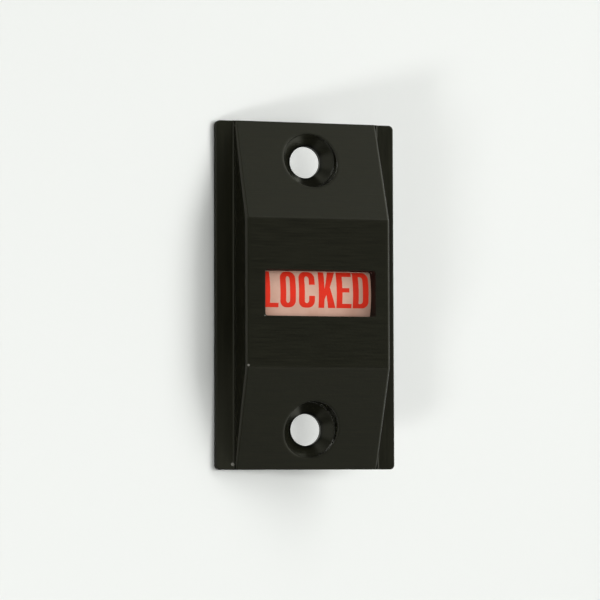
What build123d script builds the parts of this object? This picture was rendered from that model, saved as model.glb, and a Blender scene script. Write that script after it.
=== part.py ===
from build123d import *
import math
import os

# Door exit indicator: a ribbed housing with a window, and a lettered drum that a crank turns behind it.
# Millimetres and degrees. +X is to the right, +Z is up the plate, and the front faces -Y.
# The back face lies at y = 0, and the origin is its centre, midway between the screw holes.

# Housing
plate_length = 76.2
plate_width = 40.8
plate_thickness = 1.6
plate_corner_radius = 1.0
plate_edge_break = 0.2
rib_width = 32.6
front_height = 11.1
front_flat_length = 32.4
rib_end_step = 0.3
rib_edge_radius = 0.6
foot_radius = 0.5

# Window in the front, which stands a little to the right of the rib's middle
window_width = 25.0
window_height = 10.0
window_shift = 0.5
window_corner_radius = 0.5

# Mounting screw holes with sunk seats, finished by a drill's point
screw_hole_spacing = 58.8
screw_hole_diameter = 7.0
seat_diameter = 12.2
seat_land = 1.3
seat_point_angle = 118.0

# Drum: two legends, one pitch apart, on a sector that turns about the X axis
drum_radius = 12.0
drum_setback = 3.5
drum_overlap = 0.3
shell_wall = 1.6
web_thickness = 1.6
hub_diameter = 7.0
spigot_diameter = 4.4
spring_bay = 6.7
legend_pitch = 60.0
legend_half_angle = 29.0
label_thickness = 0.2
label_margin = 0.1
label_edge_angle = 2.0

# Clearances
pocket_gap = 0.35
pin_clearance = 0.03
roller_clearance = 0.05
end_play = 0.1
stop_gap = 0.3
hub_clearance = 0.1
thread_clearance = 0.05
screw_clearance = 0.2
opening_gap = 0.6
overshoot = 1.0

# Bracket behind the housing
bracket_thickness = 1.2
bracket_length = 38.0
flange_height = 3.0
flange_corner_radius = 1.5
ear_radius = 4.0
ear_foot = 16.0
bend_radius = 0.6
lip_width = 10.0
pad_thickness = 0.8
pad_margin = 0.5

# Bracket screws and their split washers
bracket_screw_diameter = 2.5
bracket_screw_length = 6.5
bracket_screw_head = 4.7
bracket_screw_head_height = 1.7
pan_radius = 0.5
bracket_screw_edge = 3.0
bracket_screw_spacing = 19.0
tapped_depth = 6.0
drive_slot_width = 0.6
drive_slot_depth = 0.8
lock_washer_diameter = 4.4
lock_washer_thickness = 0.6
lock_washer_split = 0.5

# Pivot
pivot_diameter = 3.0
pivot_chamfer = 0.3
bush_diameter = 4.6
bush_flange_diameter = 6.4
bush_flange_thickness = 0.5
bush_proud = 0.2
clip_thickness = 0.5
clip_diameter = 5.6
clip_mouth = 2.0
groove_depth = 0.35
pin_tail = 0.7

# Return spring round the drum's spigot
spring_wire = 0.6
spring_radius = 2.9
spring_pitch = 1.1
spring_quarter_turns = 18
spring_bend_radius = 1.0
spring_leg = 1.75
spring_hole = 0.9
spring_proud = 0.4
spring_start = 1.1
spring_start_angle = 270.0

# Crank
crank_radius = 7.0
crank_angle = 210.0
arm_thickness = 1.2
arm_ring_radius = 5.2
arm_tip_radius = 2.2
rivet_diameter = 1.6
rivet_head_diameter = 2.8
rivet_head_height = 0.7
rivet_dome_radius = 0.56
rivet_angle = 30.0
rivet_spread_angle = 25.0
rivet_boss_radius = 1.9
rivet_boss_gap = 0.7

# Drive pin and its roller
drive_pin_diameter = 2.4
drive_shank_diameter = 2.0
drive_shoulder_diameter = 4.0
drive_shoulder_thickness = 0.6
drive_head_diameter = 3.2
drive_head_height = 0.6
roller_diameter = 4.6
roller_length = 5.0
roller_edge_radius = 0.3
roller_washer_diameter = 4.2
roller_washer_thickness = 0.4
roller_clip_thickness = 0.4

# Places worked out from the sizes above
axis_y = drum_radius - (front_height - drum_setback)
drum_half = window_width / 2 + window_shift + drum_overlap
bay_half = drum_half + end_play + bush_flange_thickness
bracket_half = bay_half + bracket_thickness
opening_half = drum_radius + opening_gap
shell_radius = drum_radius - label_thickness
shell_inner = shell_radius - shell_wall
shell_end = legend_half_angle + legend_pitch
rivet_radius = shell_inner - rivet_boss_gap - rivet_boss_radius
left_web = spring_bay - drum_half
right_web = drum_half - web_thickness
arm_face = right_web - arm_thickness
bracket_screw_z = bracket_length / 2 - bracket_screw_edge
coil_start = spring_start - bay_half
shoulder_low = arm_face - drive_shoulder_thickness
roller_low = shoulder_low - end_play - roller_length
roller_washer_low = roller_low - end_play - roller_washer_thickness
roller_clip_low = roller_washer_low - roller_clip_thickness
bush_end = bracket_half + bush_proud
clip_start = bush_end + end_play
stop_face_y = axis_y - shell_inner * math.cos(math.radians(shell_end)) + stop_gap
edge_tolerance = 0.001


def rod(radius, low, high, y=0.0, z=0.0):
    """A cylinder along X from low to high."""
    return Pos((low + high) / 2, y, z) * Rot(0, 90, 0) * Cylinder(radius, high - low)


def post(radius, low, high, x=0.0, z=0.0):
    """A cylinder along Y from low to high."""
    return Pos(x, (low + high) / 2, z) * Rot(90, 0, 0) * Cylinder(radius, high - low)


def block(low, high):
    """A box between two corners."""
    size = [b - a for a, b in zip(low, high)]
    middle = [(a + b) / 2 for a, b in zip(low, high)]
    return Pos(*middle) * Box(*size)


def drum_point(radius, angle):
    """The y and z of a point on the drum: angle 0 faces the front, and angles grow upwards."""
    turn = math.radians(angle)
    return axis_y - radius * math.cos(turn), radius * math.sin(turn)


def slab(outline, low, high):
    """Extrudes a closed outline drawn in y and z from x = low to x = high."""
    face = make_face(Plane.YZ * outline)
    return Pos(low, 0, 0) * extrude(face, high - low, dir=(1, 0, 0))


def sector(inner, outer, start, end, low, high):
    """A piece of a tube about the drum's axis, from one angle to another."""
    middle = (start + end) / 2
    outside = ThreePointArc(drum_point(outer, start), drum_point(outer, middle), drum_point(outer, end))
    inside = ThreePointArc(drum_point(inner, end), drum_point(inner, middle), drum_point(inner, start))
    sides = Line(outside @ 1, inside @ 0) + Line(inside @ 1, outside @ 0)
    return slab(outside + inside + sides, low, high)


def groove(pin_radius, low, high, y, z):
    """What is turned away from a pin to leave a groove for a clip."""
    return rod(pin_radius + overshoot, low, high, y, z) - rod(pin_radius - groove_depth, low, high, y, z)


def clip(pin_radius, outer_radius, low, high, y, z):
    """An open retaining ring in a pin's groove, with its mouth downwards."""
    ring = rod(outer_radius, low, high, y, z) - rod(pin_radius - groove_depth, low, high, y, z)
    mouth = block((low, y - clip_mouth / 2, z - outer_radius), (high, y + clip_mouth / 2, z))
    return ring - mouth


def side_outline():
    """The rib seen from the side: a flat middle and a slope down to each end."""
    end_height = plate_thickness + rib_end_step
    half = plate_length / 2
    flat = front_flat_length / 2
    return Polyline((0, -half), (-end_height, -half), (-front_height, -flat), (-front_height, flat),
                    (-end_height, half), (0, half), close=True)


def foot_strip(side):
    """The concave rounding where one side of the rib meets the plate."""
    wall = rib_width / 2
    centre = wall + foot_radius
    corner = block((wall, -plate_thickness - foot_radius, -plate_length / 2),
                   (centre, -plate_thickness, plate_length / 2))
    hollow = Pos(centre, -plate_thickness - foot_radius, 0) * Cylinder(foot_radius, plate_length)
    strip = corner - hollow
    return strip if side > 0 else mirror(strip, about=Plane.YZ)


def housing():
    """The front: a flanged bar with a rib, sloped ends, a window, sunk screw holes and a drum pocket."""
    plate = block((-plate_width / 2, -plate_thickness, -plate_length / 2),
                  (plate_width / 2, 0, plate_length / 2))
    plate = fillet(plate.edges().filter_by(Axis.Y), plate_corner_radius)
    plate = chamfer(plate.faces().sort_by(Axis.Y)[0].edges(), plate_edge_break)
    rib = slab(side_outline(), -rib_width / 2, rib_width / 2)
    sides = rib.edges().filter_by(lambda e: abs(e.center().X) > rib_width / 2 - edge_tolerance)
    crowned = sides.filter_by(lambda e: e.center().Y < -plate_thickness)
    rib = fillet(crowned, rib_edge_radius)
    envelope = slab(side_outline(), -plate_width / 2, plate_width / 2)
    body = plate + rib
    for side in (-1, 1):
        body += foot_strip(side) & envelope
    body -= window_prism()
    body -= rod(drum_radius + pocket_gap, -bay_half, bay_half, axis_y)
    for z in (-screw_hole_spacing / 2, screw_hole_spacing / 2):
        body -= screw_seat(z)
    for x, z in bracket_screw_places():
        body -= post(bracket_screw_diameter / 2 + thread_clearance, -tapped_depth, 0, x, z)
    return body


def window_prism():
    """What the window cuts away, from the drum pocket out through the front."""
    outline = RectangleRounded(window_width, window_height, window_corner_radius)
    return Pos(window_shift, 0, 0) * Rot(90, 0, 0) * extrude(outline, front_height + overshoot)


def screw_seat(z):
    """What is drilled away for one mounting screw: hole, pointed seat floor and seat."""
    hole = screw_hole_diameter / 2
    seat = seat_diameter / 2
    floor = seat_land + (seat - hole) / math.tan(math.radians(seat_point_angle / 2))
    profile = Polyline((0, -overshoot), (hole, -overshoot), (hole, seat_land), (seat, floor),
                       (seat, front_height), (0, front_height), close=True)
    tool = revolve(make_face(Plane.XZ * profile), Axis.Z)
    return Pos(0, 0, z) * Rot(90, 0, 0) * tool


def bracket_screw_places():
    """The x and z of the four bracket screws."""
    return [(x, z) for x in (-bracket_screw_spacing / 2, bracket_screw_spacing / 2)
            for z in (-bracket_screw_z, bracket_screw_z)]


def channel_side():
    """One side of the bracket, drawn in y and z: a low flange that rises to an ear at the pivot."""
    flange = Pos(flange_height / 2, 0) * Rectangle(flange_height, bracket_length)
    flange = fillet(flange.vertices().group_by(Axis.X)[-1], flange_corner_radius)
    root = Line((flange_height, -ear_foot / 2), (flange_height, ear_foot / 2))
    top = Pos(axis_y, 0) * Circle(ear_radius)
    return flange + make_hull(top.edges() + root.edges())


def stop_lip():
    """A tongue bent up from the web above the opening and over the shell's end."""
    half = lip_width / 2
    front = stop_face_y + pad_thickness
    back = front + bracket_thickness
    outer = opening_half + bracket_thickness
    upright = block((-half, 0, opening_half), (half, back, outer))
    tongue = block((-half, front, shell_inner), (half, back, outer))
    lip = upright + tongue
    bend = lip.edges().filter_by(Axis.X).sort_by(lambda e: e.center().Y + e.center().Z)[-1]
    return fillet(bend, bend_radius)


def carrier_bracket():
    """A stamped channel behind the housing: web with an opening, two ears and two stop lips."""
    half = bracket_length / 2
    body = block((-bracket_half, 0, -half), (bracket_half, bracket_thickness, half))
    body -= block((-bay_half, 0, -opening_half), (bay_half, bracket_thickness, opening_half))
    for low, high in ((-bracket_half, -bay_half), (bay_half, bracket_half)):
        body += Pos(low, 0, 0) * extrude(Plane.YZ * channel_side(), high - low, dir=(1, 0, 0))
    bends = body.edges().filter_by(Axis.Z).filter_by(lambda e: e.center().Y < edge_tolerance)
    bends = bends.filter_by(lambda e: abs(e.center().X) > bracket_half - edge_tolerance)
    body = fillet(bends, bend_radius)
    body -= rod(bush_diameter / 2, -bracket_half, bracket_half, axis_y)
    lip = stop_lip()
    body += lip
    body += mirror(lip, about=Plane.XY)
    leg = spring_route()[0].start_point()
    body -= rod(spring_hole / 2, -bracket_half, -bay_half, leg.Y, leg.Z)
    for x, z in bracket_screw_places():
        body -= post(bracket_screw_diameter / 2 + screw_clearance, 0, bracket_thickness, x, z)
    return body


def bracket_screws():
    """Four slotted pan head screws through the bracket into the housing."""
    seat = bracket_thickness + lock_washer_thickness
    crown = seat + bracket_screw_head_height
    screws = []
    for x, z in bracket_screw_places():
        head = post(bracket_screw_head / 2, seat, crown, x, z)
        head = fillet(head.edges().sort_by(Axis.Y)[-1], pan_radius)
        slot = block((x - drive_slot_width / 2, crown - drive_slot_depth, z - bracket_screw_head),
                     (x + drive_slot_width / 2, crown, z + bracket_screw_head))
        shank = post(bracket_screw_diameter / 2, seat - bracket_screw_length, seat, x, z)
        screws.append(head - slot + shank)
    return screws


def lock_washers():
    """Four split washers under the screw heads."""
    low = bracket_thickness
    high = low + lock_washer_thickness
    rings = []
    half = lock_washer_split / 2
    for x, z in bracket_screw_places():
        ring = post(lock_washer_diameter / 2, low, high, x, z)
        ring -= post(bracket_screw_diameter / 2 + screw_clearance, low, high, x, z)
        split = block((x - half, low, z), (x + half, high, z + lock_washer_diameter))
        rings.append(ring - split)
    return rings


def bush(side):
    """A flanged bush in one ear, with its flange inside."""
    body = rod(bush_diameter / 2, bay_half - bush_flange_thickness, bush_end, axis_y)
    body += rod(bush_flange_diameter / 2, bay_half - bush_flange_thickness, bay_half, axis_y)
    body -= rod(pivot_diameter / 2 + pin_clearance, 0, bush_end, axis_y)
    return body if side > 0 else mirror(body, about=Plane.YZ)


def pivot_pin():
    """The drum's shaft, with a groove near each end for a clip."""
    end = clip_start + clip_thickness + pin_tail
    pin = rod(pivot_diameter / 2, -end, end, axis_y)
    pin = chamfer(pin.edges().filter_by(GeomType.CIRCLE), pivot_chamfer)
    for low in (-clip_start - clip_thickness, clip_start):
        pin -= groove(pivot_diameter / 2, low, low + clip_thickness, axis_y, 0)
    return pin


def pivot_clips():
    """Two open clips that keep the shaft in its bushes."""
    return [clip(pivot_diameter / 2, clip_diameter / 2, low, low + clip_thickness, axis_y, 0)
            for low in (-clip_start - clip_thickness, clip_start)]


def indicator_drum():
    """The moulded drum: a shell that carries both legends, two webs, a hub and a spring spigot."""
    body = sector(shell_inner, shell_radius, -legend_half_angle, shell_end, -drum_half, drum_half)
    for low in (left_web, right_web):
        high = low + web_thickness
        body += sector(pivot_diameter / 2, shell_radius, -legend_half_angle, shell_end, low, high)
    body += rod(hub_diameter / 2, left_web, drum_half, axis_y)
    body += rod(spigot_diameter / 2, -drum_half, left_web, axis_y)
    body -= rod(pivot_diameter / 2, -drum_half, drum_half, axis_y)
    leg = spring_route()[-1].end_point()
    body -= rod(spring_hole / 2, left_web, left_web + web_thickness, leg.Y, leg.Z)
    for y, z in rivet_places():
        body -= rivet_body(y, z)
    return body


def label(middle):
    """A printed film on the drum's shell, centred at an angle."""
    reach = legend_half_angle - label_edge_angle
    edge = drum_half - label_margin
    return sector(shell_radius, drum_radius, middle - reach, middle + reach, -edge, edge)


def coil(quarter):
    """A point on the spring's coil and its direction, after some quarter turns."""
    angle = math.radians(spring_start_angle + 90 * quarter)
    rise = spring_pitch / (2 * math.pi)
    point = Vector(coil_start + spring_pitch * quarter / 4,
                   axis_y + spring_radius * math.cos(angle), spring_radius * math.sin(angle))
    heading = Vector(rise, -spring_radius * math.sin(angle), spring_radius * math.cos(angle))
    return point, heading.normalized()


def biarc(start, start_heading, end, end_heading):
    """Two arcs that leave start and reach end along the given headings, and meet smoothly."""
    span = end - start
    total = start_heading + end_heading
    spare = 4 - total.dot(total)
    along = span.dot(total)
    reach = (math.sqrt(along ** 2 + spare * span.dot(span)) - along) / spare
    first = start + start_heading * reach
    last = end - end_heading * reach
    joint = (first + last) / 2
    return [Edge.make_tangent_arc(start, start_heading, joint),
            Edge.make_tangent_arc(joint, last - first, end)]


def spring_route():
    """The spring's centre line: a leg in the left ear, the coil, and a leg in the drum's left web."""
    along = Vector(1, 0, 0)
    points = [coil(quarter) for quarter in range(spring_quarter_turns + 1)]
    first, first_heading = points[0]
    last, last_heading = points[-1]
    ear_bend = first - first_heading * spring_leg
    ear_leg = ear_bend - (along + first_heading) * spring_bend_radius
    web_bend = last + last_heading * spring_leg
    web_leg = web_bend + (along + last_heading) * spring_bend_radius
    route = [Edge.make_line(Vector(-bracket_half - spring_proud, ear_leg.Y, ear_leg.Z), ear_leg)]
    route += biarc(ear_leg, along, ear_bend, first_heading)
    route.append(Edge.make_line(ear_bend, first))
    for (low, low_heading), (high, high_heading) in zip(points, points[1:]):
        route += biarc(low, low_heading, high, high_heading)
    route.append(Edge.make_line(last, web_bend))
    route += biarc(web_bend, last_heading, web_leg, along)
    web_back = left_web + web_thickness + spring_proud
    route.append(Edge.make_line(web_leg, Vector(web_back, web_leg.Y, web_leg.Z)))
    return route


def spring_gap(route):
    """The least gap between parts of the wire that are more than half a turn apart along it."""
    places = []
    travelled = 0
    for edge in route:
        steps = math.ceil(edge.length / spring_wire)
        places += [(travelled + edge.length * i / steps, edge.position_at(i / steps)) for i in range(steps)]
        travelled += edge.length
    half_turn = math.pi * spring_radius
    return min((b - a).length for s, a in places for t, b in places if t - s > half_turn) - spring_wire


def return_spring():
    """The torsion spring, one unbroken wire."""
    route = spring_route()
    print("return spring: least gap to itself", round(spring_gap(route), 2), "mm")
    start = Plane(origin=route[0].position_at(0), z_dir=route[0].tangent_at(0))
    return sweep(start * Circle(spring_wire / 2), path=Wire(route))


def rivet_places():
    """The y and z of the two arm rivets."""
    spread = rivet_spread_angle
    return [drum_point(rivet_radius, rivet_angle + turn) for turn in (-spread, spread)]


def rivet_body(y, z):
    """A rivet's shank and its flush head, which the drum's web is cut to fit."""
    depth = (rivet_head_diameter - rivet_diameter) / 2
    shank = rod(rivet_diameter / 2, arm_face, drum_half, y, z)
    cone = Rot(0, 90, 0) * Cone(rivet_diameter / 2, rivet_head_diameter / 2, depth)
    return shank + Pos(drum_half - depth / 2, y, z) * cone


def arm_rivets():
    """Two rivets through the drum's right web and the crank arm."""
    rivets = []
    for y, z in rivet_places():
        dome = rod(rivet_head_diameter / 2, arm_face - rivet_head_height, arm_face, y, z)
        dome = fillet(dome.edges().sort_by(Axis.X)[0], rivet_dome_radius)
        rivets.append(rivet_body(y, z) + dome)
    return rivets


def crank_arm():
    """A flat arm on the drum's right web: a ring round the hub, a tip for the drive pin, two rivet bosses."""
    tip = drum_point(crank_radius, crank_angle)
    rounds = [Pos(axis_y, 0) * Circle(arm_ring_radius), Pos(*tip) * Circle(arm_tip_radius)]
    rounds += [Pos(*place) * Circle(rivet_boss_radius) for place in rivet_places()]
    outline = make_hull(ShapeList([edge for item in rounds for edge in item.edges()]))
    arm = Pos(arm_face, 0, 0) * extrude(Plane.YZ * outline, arm_thickness, dir=(1, 0, 0))
    arm -= rod(hub_diameter / 2 + hub_clearance, arm_face, right_web, axis_y)
    arm -= rod(drive_shank_diameter / 2, arm_face, right_web, *tip)
    for y, z in rivet_places():
        arm -= rod(rivet_diameter / 2, arm_face, right_web, y, z)
    return arm


def drive_pin():
    """The stepped pin in the arm's tip, riveted over at the back and grooved at its free end."""
    place = drum_point(crank_radius, crank_angle)
    end = roller_clip_low - pin_tail
    pin = rod(drive_pin_diameter / 2, end, shoulder_low, *place)
    pin = chamfer(pin.edges().filter_by(GeomType.CIRCLE).sort_by(Axis.X)[0], pivot_chamfer)
    pin += rod(drive_shoulder_diameter / 2, shoulder_low, arm_face, *place)
    pin += rod(drive_shank_diameter / 2, arm_face, right_web, *place)
    pin += rod(drive_head_diameter / 2, right_web, right_web + drive_head_height, *place)
    return pin - groove(drive_pin_diameter / 2, roller_clip_low, roller_washer_low, *place)


def drive_roller():
    """The roller that the lock's slot pushes, free on the drive pin."""
    place = drum_point(crank_radius, crank_angle)
    high = roller_low + roller_length
    roller = rod(roller_diameter / 2, roller_low, high, *place)
    roller = fillet(roller.edges().filter_by(GeomType.CIRCLE), roller_edge_radius)
    return roller - rod(drive_pin_diameter / 2 + roller_clearance, roller_low, high, *place)


def roller_washer():
    """The washer between roller and clip."""
    place = drum_point(crank_radius, crank_angle)
    high = roller_washer_low + roller_washer_thickness
    washer = rod(roller_washer_diameter / 2, roller_washer_low, high, *place)
    return washer - rod(drive_pin_diameter / 2, roller_washer_low, high, *place)


def roller_clip():
    """The clip in the drive pin's groove."""
    place = drum_point(crank_radius, crank_angle)
    return clip(drive_pin_diameter / 2, roller_washer_diameter / 2,
                roller_clip_low, roller_washer_low, *place)


def stop_pads():
    """Two rubber pads under the stop lips, where the shell's ends come to rest."""
    half = lip_width / 2 - pad_margin
    upper = block((-half, stop_face_y, shell_inner), (half, stop_face_y + pad_thickness, drum_radius))
    return [upper, mirror(upper, about=Plane.XY)]


pieces = {
    "housing": [housing()],
    "carrier_bracket": [carrier_bracket()],
    "bracket_screws": bracket_screws(),
    "lock_washers": lock_washers(),
    "left_bush": [bush(-1)],
    "right_bush": [bush(1)],
    "pivot_pin": [pivot_pin()],
    "pivot_clips": pivot_clips(),
    "indicator_drum": [indicator_drum()],
    "locked_label": [label(0)],
    "open_label": [label(legend_pitch)],
    "return_spring": [return_spring()],
    "crank_arm": [crank_arm()],
    "arm_rivets": arm_rivets(),
    "drive_pin": [drive_pin()],
    "drive_roller": [drive_roller()],
    "roller_washer": [roller_washer()],
    "roller_clip": [roller_clip()],
    "stop_pads": stop_pads(),
}

os.makedirs("parts", exist_ok=True)
for name, solids in pieces.items():
    shape = solids[0] if len(solids) == 1 else Compound(children=solids)
    export_step(shape, f"parts/{name}.step")
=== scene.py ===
"""Door exit indicator: a ribbed black plate whose window shows a lettered drum, dressed for rendering."""
import logging
import math
from dataclasses import dataclass
from enum import Enum
from typing import Any

import bmesh
import bpy
from mathutils import Matrix, Vector


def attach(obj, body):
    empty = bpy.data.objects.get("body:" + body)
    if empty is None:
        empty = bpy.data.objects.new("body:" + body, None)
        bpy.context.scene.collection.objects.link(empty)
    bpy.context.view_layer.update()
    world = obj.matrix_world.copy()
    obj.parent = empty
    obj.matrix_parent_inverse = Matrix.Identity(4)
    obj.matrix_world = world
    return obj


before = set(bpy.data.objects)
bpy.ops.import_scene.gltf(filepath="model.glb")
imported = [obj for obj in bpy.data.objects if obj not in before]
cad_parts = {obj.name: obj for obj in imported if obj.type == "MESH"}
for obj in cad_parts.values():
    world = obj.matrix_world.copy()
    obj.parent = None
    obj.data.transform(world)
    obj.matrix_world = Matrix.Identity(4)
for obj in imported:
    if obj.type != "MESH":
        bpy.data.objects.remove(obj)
LOG = logging.getLogger("indicator")
MM = 0.001
Colour = tuple[float, float, float]
Triple = tuple[float, float, float]
Point = tuple[float, float]
Span = tuple[float, float]
Outline = list[Point]


def linear(level: float) -> float:
    """Turns one channel of a screen's colour, from 0 to 1, into a shader's linear one."""
    return level / 12.92 if level <= 0.04045 else ((level + 0.055) / 1.055) ** 2.4


def srgb(red: int, green: int, blue: int) -> Colour:
    """Turns a colour as it is seen on a screen, 0 to 255, into the linear one that a shader takes."""
    return linear(red / 255), linear(green / 255), linear(blue / 255)


PAPER_WHITE = srgb(244, 246, 243)


def heading(azimuth: float, elevation: float) -> Vector:
    """The way out from the object at so many degrees round from its front and above its level."""
    turn, lift = math.radians(azimuth), math.radians(elevation)
    return Vector((math.sin(turn) * math.cos(lift), -math.cos(turn) * math.cos(lift), math.sin(lift)))


@dataclass(frozen=True)
class Signal:
    """A node's output socket, on which an expression adds its Math nodes."""
    graph: "Graph"
    socket: bpy.types.NodeSocket

    def __add__(self, other: "Signal | float") -> "Signal":
        """The sum."""
        return self.graph.maths("ADD", self, other)

    __radd__ = __add__

    def __mul__(self, other: "Signal | float") -> "Signal":
        """The product."""
        return self.graph.maths("MULTIPLY", self, other)

    __rmul__ = __mul__

    def __sub__(self, other: "Signal | float") -> "Signal":
        """This less the other."""
        return self.graph.maths("SUBTRACT", self, other)

    def __rsub__(self, other: float) -> "Signal":
        """The other less this."""
        return self.graph.maths("SUBTRACT", other, self)

    def __neg__(self) -> "Signal":
        """This with its sign turned."""
        return 0 - self

    def __gt__(self, other: "Signal | float") -> "Signal":
        """1 where this is the larger, else 0."""
        return self.graph.maths("GREATER_THAN", self, other)

    def __lt__(self, other: "Signal | float") -> "Signal":
        """1 where this is the smaller, else 0."""
        return self.graph.maths("LESS_THAN", self, other)

    def __abs__(self) -> "Signal":
        """The size without its sign."""
        return self.graph.maths("ABSOLUTE", self)

    def between(self, low: float, high: float) -> "Signal":
        """Rises smoothly from 0 to 1 as this goes from low to high."""
        return self.graph.node("ShaderNodeMapRange", {"interpolation_type": "SMOOTHSTEP"},
                               {"Value": self, "From Min": low, "From Max": high})


@dataclass(frozen=True)
class Grain:
    """One layer of smooth noise on a surface, its lumps even unless a stretch is given."""
    stretch: Triple | None = None
    scale: float = 1.0
    detail: float = 3.0
    rough: float = 0.55


class Graph:
    """A node tree, and the few ways in which this script adds to it."""
    bevel_samples = 6
    edge_turn: Span = (0.01, 0.2)

    def __init__(self, owner: bpy.types.Material | bpy.types.World) -> None:
        """Empties the owner's tree.

        Args:
            owner: the material or world whose nodes are built.
        """
        owner.use_nodes = True
        self.owner = owner
        self.tree = owner.node_tree
        self.tree.nodes.clear()

    @classmethod
    def on_piece(cls, name: str) -> "tuple[Graph, Signal]":
        """An empty tree in a new material, and the place on the piece."""
        graph = cls(bpy.data.materials.new(name))
        return graph, graph.position()

    def place(self, kind: str, settings: dict[str, Any], sockets: dict[str | int, Any]) -> bpy.types.Node:
        """Adds a node, sets what it is first, and then fills its sockets.

        Args:
            kind: the node's type.
            settings: its properties.
            sockets: for each input's name or number, a value or a signal; a colour is given without alpha.

        Returns:
            The node.
        """
        made = self.tree.nodes.new(kind)
        for name, value in settings.items():
            setattr(made, name, value)
        for name, value in sockets.items():
            if isinstance(value, Signal):
                self.tree.links.new(value.socket, made.inputs[name])
            elif isinstance(value, tuple) and len(made.inputs[name].default_value) == 4:
                made.inputs[name].default_value = (*value, 1)
            else:
                made.inputs[name].default_value = value
        return made

    def node(self, kind: str, settings: dict[str, Any] | None = None,
             sockets: dict[str | int, Any] | None = None, output: str | int = 0) -> Signal:
        """Adds a node as place does, and gives the output of one name or number."""
        return Signal(self, self.place(kind, settings or {}, sockets or {}).outputs[output])

    def maths(self, operation: str, *values: "Signal | float") -> Signal:
        """A Math node on one or two values."""
        return self.node("ShaderNodeMath", {"operation": operation}, dict(enumerate(values)))

    def vector_maths(self, operation: str, vector: Signal, other: Signal | Triple) -> Signal:
        """A Vector Math node on two vectors that gives a number."""
        return self.node("ShaderNodeVectorMath", {"operation": operation}, {0: vector, 1: other}, "Value")

    def split(self, vector: Signal) -> tuple[Signal, Signal, Signal]:
        """The three parts of a vector."""
        parts = self.place("ShaderNodeSeparateXYZ", {}, {0: vector})
        return Signal(self, parts.outputs[0]), Signal(self, parts.outputs[1]), Signal(self, parts.outputs[2])

    def ray(self, kind: str) -> Signal:
        """1 for one kind of ray, such as Is Camera Ray, and 0 for the others."""
        return self.node("ShaderNodeLightPath", output=kind)

    def position(self) -> Signal:
        """The place on the piece in millimetres, in the part's own frame at rest."""
        place = self.node("ShaderNodeTexCoord", output="Object")
        return self.stretch(place, (1 / MM, 1 / MM, 1 / MM))

    def stretch(self, vector: Signal, by: Triple) -> Signal:
        """A vector times three numbers."""
        return self.node("ShaderNodeVectorMath", {"operation": "MULTIPLY"}, {0: vector, 1: by})

    def noise(self, place: Signal, grain: Grain) -> Signal:
        """Smooth noise from 0 to 1.

        Args:
            place: where on the piece it is read.
            grain: how it is stretched and how fine it is.

        Returns:
            The noise.
        """
        vector = self.stretch(place, grain.stretch) if grain.stretch else place
        return self.node("ShaderNodeTexNoise", {}, {
            "Vector": vector, "Scale": grain.scale, "Detail": grain.detail, "Roughness": grain.rough})

    def mix(self, share: Signal | float, first: Signal | Colour, second: Signal | Colour) -> Signal:
        """A colour between two: the first at share 0, the second at share 1."""
        return self.node("ShaderNodeMix", {"data_type": "RGBA"}, {0: share, 6: first, 7: second}, 2)

    def pick(self, share: Signal, first: Signal | float, second: Signal | float) -> Signal:
        """A number between two: the first at share 0, the second at share 1."""
        return share * (second - first) + first

    def blend(self, share: Signal, first: Signal, second: Signal) -> Signal:
        """A vector between two: the first at share 0, the second at share 1."""
        return self.node("ShaderNodeMix", {"data_type": "VECTOR"}, {0: share, 4: first, 5: second}, 1)

    def soft_edges(self, radius: float) -> Signal:
        """The surface's direction with every sharp edge rounded by a radius in millimetres."""
        return self.node("ShaderNodeBevel", {"samples": self.bevel_samples}, {"Radius": radius * MM})

    def edges(self, rounded: Signal) -> Signal:
        """1 at a sharp edge and 0 on a flat, told from the direction that soft_edges gives."""
        plain = self.node("ShaderNodeNewGeometry", output="Normal")
        return (1 - self.vector_maths("DOT_PRODUCT", plain, rounded)).between(*self.edge_turn)

    def bump(self, height: Signal, depth: float, normal: Signal | None = None) -> Signal:
        """A surface direction with a relief.

        Args:
            height: the relief, from 0 to 1.
            depth: how deep it is, in millimetres.
            normal: the direction it is added to, if not the plain one.

        Returns:
            The direction.
        """
        sockets: dict[str | int, Any] = {"Height": height, "Distance": depth * MM, "Strength": 1.0}
        if normal:
            sockets["Normal"] = normal
        return self.node("ShaderNodeBump", {}, sockets)

    def surface(self, **sockets: Any) -> bpy.types.Material:
        """Ends the tree in one Principled shader.

        Args:
            sockets: its inputs, with _ for each space in a name.

        Returns:
            The finished material.
        """
        named = {name.replace("_", " "): value for name, value in sockets.items()}
        shader = self.node("ShaderNodeBsdfPrincipled", {}, named)
        self.place("ShaderNodeOutputMaterial", {}, {"Surface": shader})
        return self.owner


@dataclass(frozen=True)
class PlateAreas:
    """The parts of the housing that look different, each 1 inside and 0 outside."""
    rib: Signal
    cut: Signal
    side: Signal
    # The window and the seats' throats also get painted shade in the colour.
    window: Signal
    throat: Signal
    bore: Signal
    rim: Signal
    # The lower part of the left flange, which gets painted light.
    lit_flange: Signal
    # A thin band along the rib's creases, which gets a painted highlight.
    crease_highlight: Signal


@dataclass(frozen=True)
class Nick:
    """A spot where the anodising is chipped, with its place and size in millimetres."""
    place: Triple
    size: float


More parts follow.
